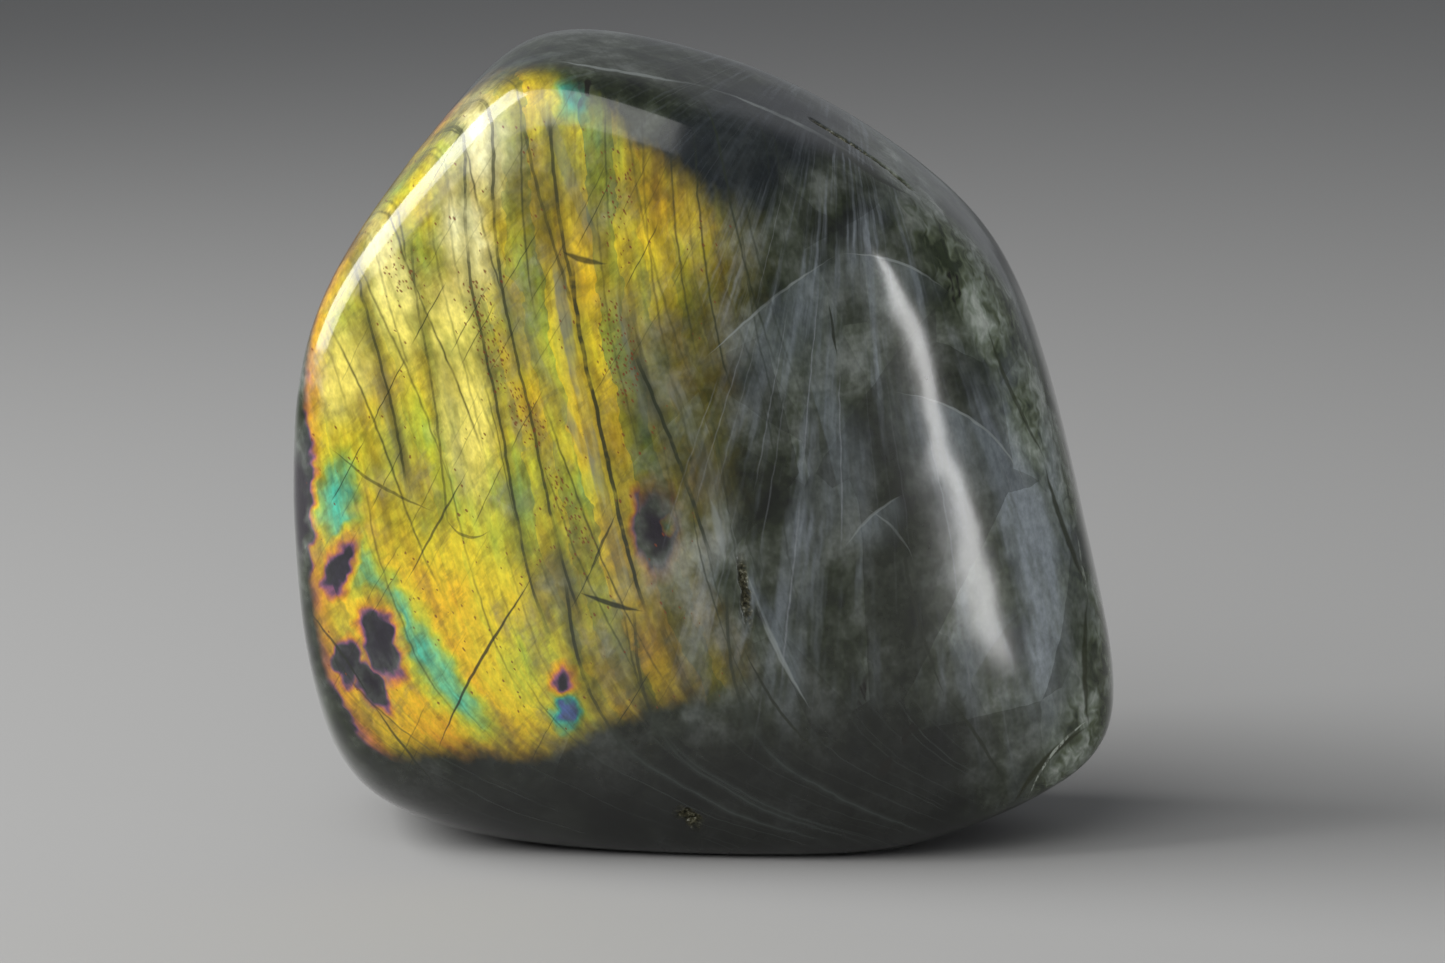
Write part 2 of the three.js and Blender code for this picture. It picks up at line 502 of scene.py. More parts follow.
uneven = rock.cloud(rock.stretched(bent, (1, 1, 2.2), -13), 0.30, 3, 0.68)
wander = rock.remap(uneven, 0.3, 0.7, -2.0, 2.0)
from_left = rock.calc("SUBTRACT", right, edge_at_height(FLASH_LEFT))
from_right = rock.calc("SUBTRACT", edge_at_height(FLASH_RIGHT), rock.calc("ADD", right, wander))
lower_edge = rock.remap(right, -30, -15, 6.6, 9.2)
lower_edge = rock.calc("MAXIMUM", lower_edge, rock.remap(right, -15, -4, 9.2, 14.4))
from_bottom = rock.calc("SUBTRACT", height, lower_edge)
from_bottom = rock.calc("MULTIPLY_ADD", wander, 0.25, from_bottom)
flash_area = rock.calc("MULTIPLY", rock.soft(from_left, -0.2, 0.8), rock.soft(from_right, -2.4, 3.0))
flash_area = rock.calc("MULTIPLY", flash_area, rock.soft(from_bottom, -1.8, 1.4))
flash_area = rock.calc("MULTIPLY", flash_area, rock.soft(height, 73.0, 69.0))
flash_area = rock.calc("MULTIPLY", flash_area, front)

# Interference order of the flash: 0 is a dead dark grain, then violet, orange, gold, yellow at
# about 0.45, green, teal, and blue at 1. Grains pull it down and growth zones push it up.
order = rock.remap(rock.cloud(bent, 0.11, 2, 0.6), 0.3, 0.7, 0.40, 0.56)
along_stack = rock.pair(across, rock.calc("MULTIPLY", height, 0.12))
streaks = rock.cloud(along_stack, 0.8, 3, 0.62, flat=True)
order = rock.calc("ADD", order, rock.remap(streaks, 0.3, 0.7, -0.035, 0.035))
order = rock.calc("ADD", order, rock.remap(height, 8, 34, -0.10, 0.0))

# Each slab between two twin planes flashes in its own strength and shade.
slab_place = rock.calc("MULTIPLY_ADD", across, 0.42, rock.calc("MULTIPLY", uneven, 1.6))
slab_number = rock.calc("FLOOR", slab_place)
slab_tone = rock.lay("ShaderNodeTexWhiteNoise", {"W": slab_number}, noise_dimensions="1D")
order = rock.calc("ADD", order, rock.remap(slab_tone, 0, 1, 0.06, -0.06))

# Its left edge is fringed with orange.
order = rock.calc("SUBTRACT", order, rock.remap(from_left, 0, 2.4, 0.24, 0))

TEAL_ZONES = [
    ((-34.4, 32.4), 6.4, 3.2, 0, 0.36),
    ((-32.0, 26.4), 5.8, 3.2, -28, 0.30),
    ((-28.4, 21.2), 6.4, 3.2, -32, 0.37),
    ((-25.0, 15.8), 6.0, 3.1, -32, 0.35),
    ((-21.8, 12.0), 4.6, 2.6, -44, 0.28),
    ((-13.2, 12.4), 2.8, 2.0, -12, 0.60),
    ((-12.2, 69.6), 3.4, 2.4, 0, 0.40),
    ((-3.7, 30.3), 1.3, 0.9, 0, 0.7),
]
DEAD_GRAINS = [
    ((-30.0, 19.4), 5.4, 2.4, -12, 0.90),
    ((-33.3, 17.1), 2.8, 1.6, 5, 0.80),
    ((-31.2, 15.0), 3.8, 1.4, -32, 0.80),
    ((-33.7, 26.8), 4.0, 1.9, 14, 0.90),
    ((-34.6, 12.6), 3.4, 1.3, -25, 0.42),
    ((-38.2, 31.6), 9.6, 2.2, 2, 1.1),
    ((-13.4, 15.6), 2.4, 1.6, -5, 0.62),
    ((-4.6, 29.8), 5.4, 2.7, -4, 0.90),
]
lift = total(rock.calc("MULTIPLY", blotch(*zone[:4], 0.9), zone[4]) for zone in TEAL_ZONES)
drop = most(rock.calc("MULTIPLY", blotch_fall(*dull[:4]), dull[4]) for dull in DEAD_GRAINS)
order = rock.calc("SUBTRACT", rock.calc("ADD", order, lift), drop)
FLASH_COLOURS = [
    (0.0, (0.030, 0.028, 0.038)),
    (0.05, (0.06, 0.04, 0.08)),
    (0.12, (0.28, 0.10, 0.20)),
    (0.20, (0.66, 0.22, 0.08)),
    (0.28, (0.84, 0.40, 0.02)),
    (0.37, (0.84, 0.52, 0.02)),
    (0.47, (0.78, 0.62, 0.03)),
    (0.57, (0.50, 0.56, 0.05)),
    (0.67, (0.28, 0.55, 0.16)),
    (0.80, (0.09, 0.56, 0.38)),
    (0.92, (0.06, 0.28, 0.38)),
    (1.0, (0.10, 0.16, 0.42)),
]
flash_colour = rock.ramp(order, FLASH_COLOURS)

# How strongly it flashes: fullest left of the middle, and a dull olive out to the right.
GLOW_BY_RIGHT = [(-39, 0.40), (-36, 0.46), (-31, 0.64), (-18, 0.58), (-11, 0.50), (-7, 0.44)]
GLOW_BY_RIGHT += [(-5, 0.26), (0, 0.17), (4, 0.10), (7, 0.06)]
strength = rock.profile(right, GLOW_BY_RIGHT, (-39, 7), (0, 1))
GLOW_SPOTS = [
    ((-11.3, 42.0), 18, 6.0, -10, 0.50),
    ((-20.5, 19.0), 14, 9.0, -12, 0.50),
    ((-22.5, 36.0), 16, 6.0, -8, 0.50),
    ((-3.8, 55.0), 9, 5.0, 24, 0.34),
    ((-8.4, 49.0), 10, 4.5, -8, 0.30),
    ((0.9, 16.6), 4, 3.6, 0, 0.14),
    ((-30.0, 51.0), 9, 3.6, -14, -0.26),
    ((-9.6, 17.5), 7, 4.4, -14, -0.30),
    ((-16.4, 61.0), 10, 3.4, -10, -0.28),
    ((-14.5, 54.0), 9, 2.6, -8, -0.20),
    ((-13.8, 25.0), 6, 3.4, -10, -0.40),
    ((-26.0, 10.0), 6, 8.0, 0, 0.30),
    ((-15.0, 15.0), 6, 4.0, -10, 0.40),
]
spot_glow = total(rock.calc("MULTIPLY", blotch(*spot[:4], 0.8), spot[4]) for spot in GLOW_SPOTS)
strength = rock.calc("ADD", strength, spot_glow)
feather_off = rock.calc("MULTIPLY_ADD", right, -0.75, rock.calc("MULTIPLY", height, 0.67))
feather_run = rock.calc("MULTIPLY_ADD", height, 0.75, rock.calc("MULTIPLY", right, 0.67))
feather_place = rock.pair(feather_off, rock.calc("MULTIPLY", feather_run, 0.30))
feathers = rock.cloud(feather_place, 0.9, 3, 0.68, flat=True)
strength = rock.calc("MULTIPLY", strength, rock.remap(uneven, 0.36, 0.60, 0.66, 1.3))
strength = rock.calc("MULTIPLY", strength, rock.remap(streaks, 0.36, 0.6, 0.78, 1.18))
strength = rock.calc("MULTIPLY", strength, rock.remap(feathers, 0.38, 0.52, 0.80, 1.08))
strength = rock.calc("MULTIPLY", strength, rock.remap(slab_tone, 0, 1, 0.72, 1.25))
beyond = rock.calc("MULTIPLY", rock.soft(across, 5.2, 6.4), rock.soft(height, 57, 48))
strength = rock.calc("MULTIPLY", strength, rock.remap(beyond, 0, 1, 1, 0.5))

# Pale cream patches: partly flash so strong that it washes out, partly a painted reflection of the
# soft light from the upper left.
CREAM_SHEEN_SPOTS = [
    ((-22.6, 42.5), 14.0, 4.0, -8, 0.6),
    ((-28.5, 51.0), 11.0, 3.6, -12, 0.8),
    ((-22.0, 56.0), 11.0, 3.6, -10, 0.9),
    ((-20.5, 65.0), 9.0, 4.0, -8, 0.9),
    ((-33.0, 44.0), 7.0, 3.4, 14, 0.8),
]
cream_and_sheen = most(blotch(*spot) for spot in CREAM_SHEEN_SPOTS)
cream_and_sheen = rock.calc("MULTIPLY", cream_and_sheen, rock.remap(uneven, 0.34, 0.6, 0.55, 1.0))
LOW_CREAM = (0.98, 0.84, 0.17, 1)
HIGH_CREAM = (0.80, 0.77, 0.42, 1)
cream_sheen_colour = rock.mix(rock.soft(height, 46, 60), LOW_CREAM, HIGH_CREAM)
flash_colour = rock.mix(cream_and_sheen, flash_colour, cream_sheen_colour)

# The body: grey-green feldspar, clouded, broken into planes that catch the light differently,
# with milky veils that fan down from the top.
MILKY_VEIL = (0.19, 0.215, 0.232, 1)
FROSTED_BREAK = (0.17, 0.20, 0.215, 1)
WHITE_THREAD = (0.27, 0.29, 0.31, 1)
DEAD_GRAIN = (0.014, 0.011, 0.016, 1)
fine_grain = rock.cloud(rock.stretched(bent, (1, 1, 1.8), -14), 1.7, 2, 0.7)
fine_grain = rock.remap(fine_grain, 0.3, 0.7, 0.78, 1.20)
body_tone = rock.cloud(bent, 0.15, 4, 0.68)
body = rock.ramp(body_tone, [
    (0.34, (0.006, 0.009, 0.004)),
    (0.45, (0.022, 0.029, 0.014)),
    (0.54, (0.056, 0.066, 0.046)),
    (0.68, (0.150, 0.165, 0.145)),
])
plane_place = rock.stretched(bent, (1, 1.3, 1.9), 18)
plane_chance = rock.lay("ShaderNodeSeparateColor", {0: rock.cells(plane_place, 0.10, "Color")})
shard_place = rock.stretched(bent, (1, 1.2, 2.4), -28)
shard_chance = rock.lay("ShaderNodeSeparateColor", {0: rock.cells(shard_place, 0.17, "Color")})
fan_turn, fan_far = around((13.0, 80.0))
fan_place = rock.lay("ShaderNodeCombineXYZ", {
    0: rock.calc("MULTIPLY", fan_turn, 20.0),
    1: rock.calc("MULTIPLY", behind, 0.05),
    2: rock.calc("MULTIPLY", fan_far, 0.05),
})
fan_veil = rock.cloud(fan_place, 1.0, 3, 0.7)
haze = rock.cloud(place, 0.085, 2, 0.6)
veils = rock.soft(rock.calc("MULTIPLY_ADD", plane_chance, 0.05, fan_veil), 0.48, 0.78)
veils = rock.calc("MULTIPLY", veils, rock.remap(haze, 0.36, 0.6, 0.35, 1.0))
# Milky veils. The largest spot, right of the ridge highlight, is also painted sheen: the face turned
# right is shown lit brighter.
MILKY_AND_SHEEN_SPOTS = [
    ((32.0, 17.5), 12.0, 4.6, -8, 0.5),
    ((30.5, 35.0), 19.0, 6.4, -14, 1.5),
    ((12.0, 33.5), 9.0, 5.0, 24, 0.4),
    ((5.5, 46.0), 12.0, 4.5, 30, 0.3),
    ((21.0, 34.0), 20.0, 3.4, -22, 0.45),
    ((14.0, 56.0), 12.0, 3.0, 34, 0.4),
]
milky_and_sheen = total(rock.calc("MULTIPLY", blotch(*spot[:4], 1), spot[4]) for spot in MILKY_AND_SHEEN_SPOTS)
milky_and_sheen = rock.calc("MULTIPLY", milky_and_sheen, rock.remap(fan_veil, 0.36, 0.6, 0.35, 1.3))
veils = rock.calc("ADD", veils, milky_and_sheen)
veil_area = rock.calc("MULTIPLY", rock.soft(right, -9, 4), rock.soft(height, 2, 22))
veils = rock.calc("MULTIPLY", veils, rock.calc("MAXIMUM", veil_area, 0.25))
body = rock.mix(veils, body, MILKY_VEIL)
body = rock.scaled(body, rock.remap(plane_chance, 0, 1, 0.70, 1.32))
body = rock.scaled(body, rock.remap(shard_chance, 0, 1, 0.76, 1.22))
dead = rock.calc("MULTIPLY", rock.soft(drop, 0.3, 0.75), rock.soft(behind, -7, -11))
body = rock.mix(dead, body, DEAD_GRAIN)
SHELLS = [
    ((12.6, 55.4), (-0.5, 45.5), -0.5, 12.0, 0.45),
    ((23.0, 51.6), (12.2, 55.2), -1.4, 9.0, 0.50),
    ((30.4, 32.6), (17.0, 42.2), -2.6, 11.0, 0.55),
    ((18.6, 32.6), (12.6, 27.6), -0.6, 4.0, 0.50),
    ((3.6, 26.5), (10.2, 12.6), -0.6, 2.6, 0.55),
    ((8.4, 47.0), (13.0, 27.0), 0.6, 5.0, 0.40),
    ((24.0, 12.6), (30.6, 22.6), 0.8, 5.0, 0.35),
]
shells = most(
    rock.calc("MULTIPLY", crack_mask(*item[:4], shell), item[4]) for item in SHELLS
)
shells = rock.calc("MULTIPLY", shells, rock.remap(fan_veil, 0.34, 0.6, 0.4, 1.3))
shells = rock.calc("MULTIPLY", shells, front)
body = rock.mix(shells, body, FROSTED_BREAK)
threads = hatching_mask(
    rock.calc("MULTIPLY_ADD", fan_turn, 30.0, 40), rock.calc("MULTIPLY", fan_far, 0.05), 0.08, 0.30
)
threads = rock.calc("MULTIPLY", threads, rock.calc("MULTIPLY", veil_area, 0.55))
threads = rock.calc("MULTIPLY", threads, rock.calc("SUBTRACT", 1, back))
body = rock.mix(threads, body, WHITE_THREAD)

# The right rim and the back edge: mottled greenish white, with dark green seams.
mottle = rock.cloud(rock.stretched(ragged, (1, 2.2, 2.4), -14), 0.36, 3, 0.75)
mottled = rock.ramp(mottle, [
    (0.38, (0.024, 0.036, 0.012)),
    (0.46, (0.110, 0.135, 0.075)),
    (0.54, (0.24, 0.28, 0.22)),
    (0.65, (0.48, 0.52, 0.46)),
])
RIM_FROM = [(-2, 30), (14, 33.5), (26, 33), (38, 28.5), (49, 24), (58, 19), (80, 12)]
rim_from = rock.profile(height, RIM_FROM, (-2, 80), (0, 42))
rim_area = rock.soft(rock.calc("SUBTRACT", right, rim_from), -1.6, 2.4)
rim_area = rock.calc("MULTIPLY", rim_area, rock.remap(haze, 0.40, 0.58, 0.25, 0.95))
body = rock.mix(rim_area, body, mottled)

# The foot is darkened towards the floor as painted shade, and the top bevel is darker too.
FOOT_SHADE_COLOUR = (0.003, 0.004, 0.003, 1)
TOP_DARK = (0.006, 0.009, 0.014, 1)
foot_shade_mask = rock.soft(rock.calc("MULTIPLY_ADD", right, -0.10, height), 18, 5)
foot_shade_mask = rock.calc("MULTIPLY", foot_shade_mask, rock.soft(right, 30, 22))
body = rock.mix(rock.calc("MULTIPLY", foot_shade_mask, 0.88), body, FOOT_SHADE_COLOUR)
dark_top = blotch((4.0, 65.0), 14, 7.5, 62, 0.55)
dark_top = rock.calc("MULTIPLY", dark_top, front)
body = rock.mix(rock.calc("MULTIPLY", dark_top, 0.8), body, TOP_DARK)

# A smaller, dimmer flash of blue and gold shows on the back.
BACK_FLASHES = [((9, 44), 34, 19, 14, 0.5), ((-17, 28), 19, 10, 20, 0.5)]
back_area = most(blotch(*spot) for spot in BACK_FLASHES)
back_area = rock.calc("MULTIPLY", rock.calc("MULTIPLY", back_area, back), 0.55)
back_order = rock.remap(haze, 0.32, 0.68, 0.30, 1.0)
back_colour = rock.ramp(back_order, FLASH_COLOURS)
back_share = rock.calc("MULTIPLY", back_area, rock.remap(streaks, 0.38, 0.58, 0.35, 1))
back_share = rock.calc("MULTIPLY", back_share, rock.remap(slab_tone, 0, 1, 0.3, 1.2))
body = rock.mix(back_share, body, back_colour)

# The flash goes over the body, as strongly as it glows, and fullest under the cream patches of
# washed-out flash and painted reflection.
shown = rock.calc("MAXIMUM", strength, rock.calc("MULTIPLY", cream_and_sheen, 1.1))
flash_share = rock.calc("MULTIPLY", flash_area, rock.calc("MINIMUM", shown, 1.0))
colour = rock.scaled(rock.mix(flash_share, body, flash_colour), fine_grain)

# Grey twin bands lie over the flash.
GREY_BANDS = [
    (2.8, -0.28, 34, 56, 0.30, 0.5, 0.60),
    (4.5, 0.01, 22, 56, 0.40, 0.4, 0.75),
    (10.2, 0.0, 38, 54, 0.55, 0.6, 0.65),
    (-13.1, -0.06, 30, 46, 0.25, 0.8, 0.55),
    (-7.6, 0.10, 30, 48, 0.2, 0.7, 0.45),
    (13.6, -0.34, 54, 70, 0.4, 0.4, 0.75),
    (7.2, 0.25, 10, 26, 0.3, 0.5, 0.3),
    (13.4, -0.15, 26, 46, 0.45, 0.5, 0.7),
]
bands = most(
    rock.calc("MULTIPLY", lamella_mask(*band[:6]), band[6]) for band in GREY_BANDS
)
bands = rock.calc("MULTIPLY", bands, rock.remap(uneven, 0.36, 0.6, 0.45, 1.1))
bands = rock.calc("MULTIPLY", bands, rock.soft(right, 6, 1))
DEEP_GREY = (0.070, 0.080, 0.060, 1)
LIGHT_GREY = (0.15, 0.16, 0.14, 1)
grey = rock.mix(rock.soft(streaks, 0.4, 0.6), DEEP_GREY, LIGHT_GREY)
colour = rock.mix(rock.calc("MULTIPLY", bands, front), colour, grey)

# Dark lamella lines: the boldest ones, and the fine ones hatched between them.
DARK_LAMELLAE = [
    (-12.8, 0.04, 32, 58, 0.06, 0.16, 0.80),
    (-9.1, 0.108, 28, 58, 0.05, 0.16, 0.70),
    (-3.5, 0.04, 20, 70, 0.07, 0.16, 0.85),
    (-0.6, 0.012, 20, 72, 0.08, 0.16, 0.85),
    (5.6, 0.012, 21, 56, 0.12, 0.20, 0.95),
    (6.6, -0.08, 48, 69, 0.09, 0.20, 0.85),
    (11.2, -0.154, 26, 48, 0.10, 0.22, 0.9),
    (7.7, -0.209, 48, 69, 0.08, 0.18, 0.7),
    (1.7, 0.184, -2, 27, 0.09, 0.18, 0.9),
    (6.9, 0.2, -2, 24, 0.05, 0.16, 0.7),
    (9.7, 0.305, -2, 24, 0.08, 0.18, 0.8),
    (18.5, 0.3, -2, 26, 0.08, 0.24, 0.8),
]
lines = most(
    rock.calc("MULTIPLY", lamella_mask(*line[:6]), line[6]) for line in DARK_LAMELLAE
)
fine_lines = hatching_mask(
    rock.calc("MULTIPLY_ADD", across, 0.8, 60), rock.calc("MULTIPLY", height, 0.034), 0.14, 0.45
)
lines = rock.calc("MAXIMUM", lines, rock.calc("MULTIPLY", fine_lines, 0.75))
leaning_across = rock.calc("MULTIPLY_ADD", height, 0.07, rock.calc("MULTIPLY", across, 0.5))
leaning_along = rock.calc("MULTIPLY_ADD", height, 0.03, 7)
leaning_lines = hatching_mask(leaning_across, leaning_along, 0.10, 0.35)
lines = rock.calc("MAXIMUM", lines, rock.calc("MULTIPLY", leaning_lines, 0.8))
lines = rock.calc("MULTIPLY", lines, rock.remap(body_tone, 0.34, 0.48, 0.45, 1.0))
lines = rock.calc("MULTIPLY", lines, rock.remap(from_left, 0, 4, 0.1, 1.0))
# In the painted shade of the foot, the lamella lines show a little lighter than the shade.
LINE_IN_FOOT_SHADE = (0.060, 0.073, 0.066, 1)
DARK_LINE = (0.020, 0.026, 0.014, 1)
lines_in_foot_shade = rock.calc("MULTIPLY", rock.calc("MULTIPLY", lines, foot_shade_mask), 0.7)
colour = rock.mix(lines_in_foot_shade, colour, LINE_IN_FOOT_SHADE)
flash_lines = rock.calc("MULTIPLY", lines, rock.soft(right, 12, 4))
flash_lines = rock.calc("MULTIPLY", flash_lines, rock.calc("SUBTRACT", front, foot_shade_mask))
colour = rock.mix(flash_lines, colour, DARK_LINE)

# Healed cracks cross the lamellae, the larger ones singly and the fine ones hatched.
DARK_CRACK = (0.018, 0.022, 0.012, 1)
CROSS_CRACKS = [
    ((-26.3, 7.0), (-15.2, 27.0), 0.3, 0.16, 0.9),
    ((-28.2, 24.0), (-21.6, 35.4), 0.3, 0.12, 0.75),
    ((-11.3, 25.0), (-7.9, 31.5), 0.2, 0.12, 0.8),
    ((-35.3, 37.6), (-24.7, 31.0), -0.6, 0.16, 0.6),
    ((-24.4, 31.0), (-19.6, 29.6), -1.6, 0.13, 0.6),
    ((-37.9, 23.2), (-31.0, 13.0), 0.4, 0.12, 0.75),
    ((-31.3, 13.5), (-25.4, 4.6), -0.3, 0.12, 0.75),
    ((-13.6, 55.4), (-9.0, 54.3), -0.3, 0.34, 0.8),
    ((-12.4, 24.1), (-5.8, 22.3), -0.2, 0.30, 0.9),
    ((17.2, 32.5), (23.2, 13.0), -0.8, 0.20, 0.85),
    ((22.6, 14.5), (29.2, 4.4), 0.4, 0.20, 0.85),
    ((3.2, 19.5), (12.0, 7.6), -0.9, 0.15, 0.8),
    ((11.4, 51.2), (12.4, 45.4), 0.0, 0.14, 0.85),
    ((11.2, 66.6), (19.6, 60.8), -0.7, 0.28, 0.9),
]
cracks = most(
    rock.calc("MULTIPLY", crack_mask(*item[:4]), item[4]) for item in CROSS_CRACKS
)
fine_cracks = rock.calc("MULTIPLY", hatch(61, 1.9, 8, 0.05, 0.35), rock.soft(right, 1, -4))
cracks = rock.calc("MAXIMUM", cracks, rock.calc("MULTIPLY", fine_cracks, 0.85))
colour = rock.mix(rock.calc("MULTIPLY", cracks, front), colour, DARK_CRACK)

# Open seams run down the right rim to the crevice, dark olive, with a painted glint sparkling along
# one lip.
OLIVE_SEAM = (0.022, 0.027, 0.008, 1)
GLINT_COLOUR = (0.55, 0.60, 0.52, 1)
RIM_SEAMS = [
    ((26.0, 50.0), (32.6, 35.0), -0.5, 0.22, 0.7),
    ((31.8, 36.3), (36.4, 22.7), -0.5, 0.30, 0.85),
    ((36.2, 23.4), (37.0, 10.0), -0.6, 0.34, 0.85),
    ((37.2, 11.0), (29.5, 2.4), -1.0, 0.40, 0.95),
]
seams = most(rock.calc("MULTIPLY", crack_mask(*item[:4]), item[4]) for item in RIM_SEAMS)
around_rim = rock.calc("SUBTRACT", 1, back)
colour = rock.mix(rock.calc("MULTIPLY", seams, around_rim), colour, OLIVE_SEAM)
# The pale lips are a painted glint.
PAINTED_GLINT_LIPS = [
    ((37.7, 12.0), (31.0, 2.8), -1.2, 0.13, 0.7),
    ((34.9, 29.5), (36.6, 21.0), -0.2, 0.10, 0.4),
]
painted_glints = most(rock.calc("MULTIPLY", crack_mask(*item[:4]), item[4]) for item in PAINTED_GLINT_LIPS)
painted_glints = rock.calc("MULTIPLY", painted_glints, rock.remap(fine_grain, 0.95, 1.05, 0.2, 1))
colour = rock.mix(rock.calc("MULTIPLY", painted_glints, around_rim), colour, GLINT_COLOUR)

# Pale arcs: the edges of shell-shaped breaks and frosty seams, catching the light.
PALE_FROST = (0.30, 0.33, 0.32, 1)
PALE_ARCS = [
    ((-0.5, 45.5), (12.6, 55.4), 0.5, 0.13, 0.55),
    ((12.2, 55.2), (23.0, 51.6), 1.4, 0.11, 0.6),
    ((17.0, 42.2), (30.4, 32.6), 2.6, 0.12, 0.65),
    ((12.6, 27.6), (18.6, 32.6), 0.6, 0.13, 0.4),
    ((14.6, 31.2), (19.2, 26.4), 0.6, 0.12, 0.35),
    ((3.6, 26.5), (10.2, 12.6), -0.6, 0.30, 0.6),
    ((-14.6, 73.0), (1.0, 70.6), -0.3, 0.16, 0.45),
    ((-1.0, 71.0), (18.4, 61.6), 0.8, 0.18, 0.5),
    ((0.2, 33.0), (1.8, 26.5), 0.2, 0.50, 0.4),
]
arcs = most(
    rock.calc("MULTIPLY", crack_mask(*item[:4]), item[4]) for item in PALE_ARCS
)
arcs = rock.calc("MULTIPLY", arcs, rock.remap(body_tone, 0.36, 0.54, 0.25, 1.0))
colour = rock.mix(rock.calc("MULTIPLY", arcs, front), colour, PALE_FROST)

# Brown-red mica specks in trails, and a few black grains.
MICA = (0.16, 0.040, 0.016, 1)
BLACK = (0.008, 0.008, 0.005, 1)
SPECKS_PER_MM = 2.5
speck_across = rock.calc("MULTIPLY_ADD", height, 0.45, right)
speck_place = rock.pair(speck_across, rock.calc("MULTIPLY", height, 0.6))
speck_off = rock.calc("MULTIPLY_ADD", rock.cloud(place, 2.6, 1), 0.7, -0.35)
speck_off = rock.calc("ADD", speck_off, rock.cells(speck_place, SPECKS_PER_MM, flat=True))
specks = rock.soft(speck_off, rock.remap(feathers, 0.35, 0.6, 0.16, 0.38), 0.06)
SPECK_TRAILS = [
    ((-19.8, 47.0), 6.5, 1.5, -14, 0.4),
    ((-16.6, 40.5), 4.5, 1.6, -30, 0.4),
    ((-7.8, 46.5), 6.5, 2.0, -12, 0.5),
    ((-8.2, 60.0), 8.0, 3.0, -10, 1.4),
    ((-12.6, 31.0), 5.5, 1.5, -22, 0.5),
    ((-27.6, 53.0), 4.5, 2.6, -10, 0.9),
    ((-24.0, 20.0), 6.0, 2.4, -32, 3.0),
]
speck_trails = most(blotch(*trail) for trail in SPECK_TRAILS)
scatter = rock.calc("MULTIPLY", rock.soft(uneven, 0.48, 0.64), flash_area)
speck_trails = rock.calc("MAXIMUM", speck_trails, rock.calc("MULTIPLY", scatter, 0.12))
speck_colours = rock.cells(speck_place, SPECKS_PER_MM, "Color", flat=True)
speck_chance = rock.lay("ShaderNodeSeparateColor", {0: speck_colours})
kept = rock.calc("GREATER_THAN", speck_trails, speck_chance)
specks = rock.calc("MULTIPLY", rock.calc("MULTIPLY", specks, kept), front)
colour = rock.mix(rock.calc("MULTIPLY", specks, 0.82), colour, MICA)

BLACK_GRAINS = [
    ((14.9, 14.5), 2.0, 0.7, 20),
    ((19.5, 10.9), 1.8, 0.6, 12),
    ((17.3, 7.4), 1.6, 0.7, 40),
    ((23.0, 52.6), 2.6, 0.6, -14),
    ((-10.6, 70.0), 0.9, 0.5, 0),
    ((3.2, 23.4), 3.4, 0.75, -2),
]
grains = most(rock.soft(blotch_fall(*spot), 0.1, 0.5) for spot in BLACK_GRAINS)
grains = rock.calc("MULTIPLY", grains, rock.soft(streaks, 0.36, 0.5))
colour = rock.mix(rock.calc("MULTIPLY", grains, front), colour, BLACK)

# The crevices are unpolished: rough, brownish and grainy, and their palest grains are painted glints.
worn = rock.lay("ShaderNodeAttribute", output="Fac", attribute_name="unpolished")
grit = rock.ramp(rock.cloud(place, 2.4, 2, 0.7), [
    (0.36, (0.012, 0.012, 0.007)),
    (0.54, (0.060, 0.056, 0.032)),
    (0.64, (0.17, 0.165, 0.115)),
    (0.74, (0.50, 0.50, 0.44)),
])
colour = rock.mix(rock.calc("MULTIPLY", worn, 0.9), colour, grit)

# The polish is not a perfect mirror: a faint relief, and a gloss that varies.
ripple = rock.cloud(place, 0.8, 1, 0.5)
relief = rock.lay("ShaderNodeBump", {"Height": ripple, "Strength": 0.12, "Distance": 0.00002})
surface = rock.lay("ShaderNodeBsdfPrincipled", {"Base Color": colour, "Normal": relief})
principled = surface.node
roughness = rock.calc("MULTIPLY_ADD", worn, 0.45, rock.remap(haze, 0.3, 0.7, 0.2, 0.3))
rock.tree.links.new(roughness, principled.inputs["Roughness"])
rock.tree.links.new(rock.calc("SUBTRACT", 1, worn), principled.inputs["Coat Weight"])
rock.tree.links.new(relief, principled.inputs["Coat Normal"])
FELDSPAR_IOR = 1.56
principled.inputs["Specular IOR Level"].default_value = 0.1
principled.inputs["IOR"].default_value = FELDSPAR_IOR
principled.inputs["Coat Roughness"].default_value = 0.10
principled.inputs["Coat IOR"].default_value = 1.5
result = rock.tree.nodes.new("ShaderNodeOutputMaterial")
rock.tree.links.new(surface, result.inputs["Surface"])

stone_mesh.materials.append(polish)
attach(stone, "root")
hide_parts("labradorite")

# The floor: a plain sheet of pale matt studio paper, far larger than the stone and level with
# its resting face.
FLOOR_REACH = 6
PALE_PAPER = (0.36, 0.357, 0.35, 1)
floor_mesh = bpy.data.meshes.new("floor")
sheet = bmesh.new()
bmesh.ops.create_grid(sheet, x_segments=1, y_segments=1, size=FLOOR_REACH)
sheet.to_mesh(floor_mesh)
sheet.free()
floor = bpy.data.objects.new("floor", floor_mesh)
bpy.context.scene.collection.objects.link(floor)
paper = bpy.data.materials.new("pale_paper")
paper.use_nodes = True
paper_surface = paper.node_tree.nodes["Principled BSDF"]
paper_surface.inputs["Base Color"].default_value = PALE_PAPER
paper_surface.inputs["Roughness"].default_value = 0.85
floor_mesh.materials.append(paper)

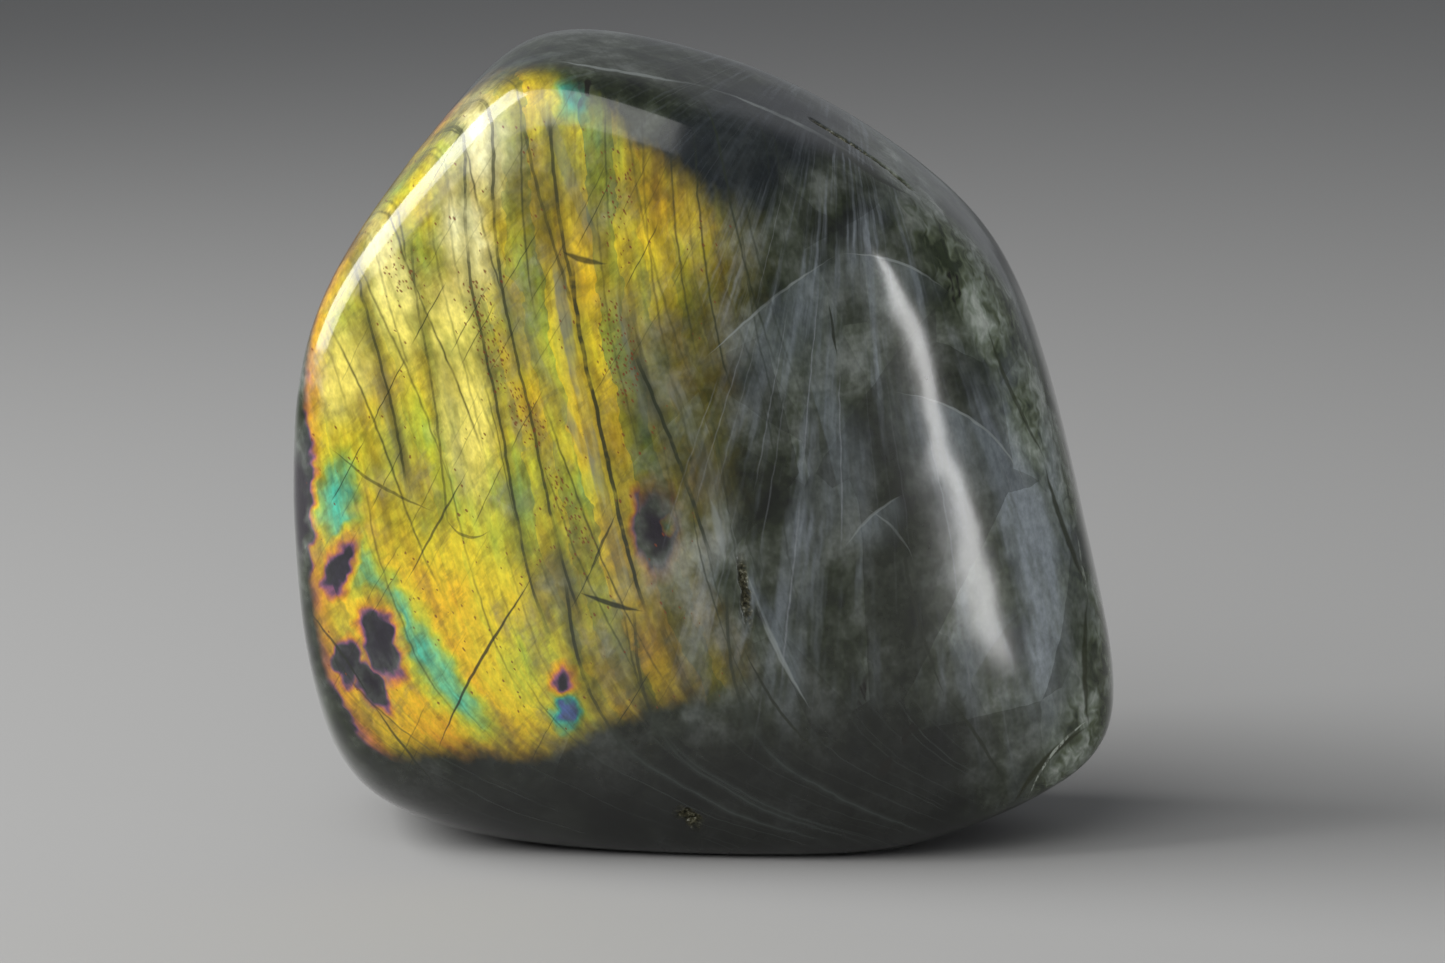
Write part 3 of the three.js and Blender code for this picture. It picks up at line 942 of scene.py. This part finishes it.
# The light: two large soft boxes high on the left, a narrow strip near by on the right, and a pale
# room. A box is its azimuth and elevation in degrees, its distance and size in metres, and its power.
TARGET = Vector((0, 0, 0.040))
LAMP_SPREAD = 110


def soft_box(name, azimuth, elevation, distance, width, height, power):
    lamp = bpy.data.lights.new(name, "AREA")
    lamp.shape = "RECTANGLE"
    lamp.size = width
    lamp.size_y = height
    lamp.energy = power
    lamp.spread = math.radians(LAMP_SPREAD)
    box = bpy.data.objects.new(name, lamp)
    box.location = TARGET + direction(azimuth, elevation) * distance
    box.rotation_euler = (TARGET - box.location).to_track_quat("-Z", "Y").to_euler()
    bpy.context.scene.collection.objects.link(box)


soft_box("soft_box_left", -84, 32, 0.80, 0.54, 0.64, 3.5)
soft_box("soft_box_key", -34, 38, 1.20, 1.20, 0.90, 3.6)
soft_box("strip_right", 42, -2, 0.17, 0.007, 0.068, 0.0066)

ROOM_LIGHT = (0.92, 0.95, 1.0, 1)
room = bpy.data.worlds.new("room")
room.use_nodes = True
backdrop = room.node_tree.nodes["Background"]
backdrop.inputs["Color"].default_value = ROOM_LIGHT
backdrop.inputs["Strength"].default_value = 0.20
bpy.context.scene.world = room
bpy.context.scene.view_settings.view_transform = "Standard"

# The camera: a long lens that looks ten degrees down on the flash face, with the stone filling
# the height of the picture.
CAMERA_DISTANCE = 0.4699
AIM_RIGHT = 0.00161
AIM_UP = 0.034
camera_data = bpy.data.cameras.new("camera")
camera_data.lens = 120
camera_data.sensor_width = 36
camera = bpy.data.objects.new("camera", camera_data)
tip = Vector((0, math.sin(LEAN_BACK), math.cos(LEAN_BACK)))
gaze = Vector((0, math.cos(LEAN_BACK), -math.sin(LEAN_BACK)))
aim = Vector((HEART.x * METRES + AIM_RIGHT, HEART.y * METRES, 0)) + tip * AIM_UP
camera.location = aim - gaze * CAMERA_DISTANCE
camera.rotation_euler = (math.pi / 2 - LEAN_BACK, 0, 0)
bpy.context.scene.collection.objects.link(camera)
bpy.context.scene.camera = camera
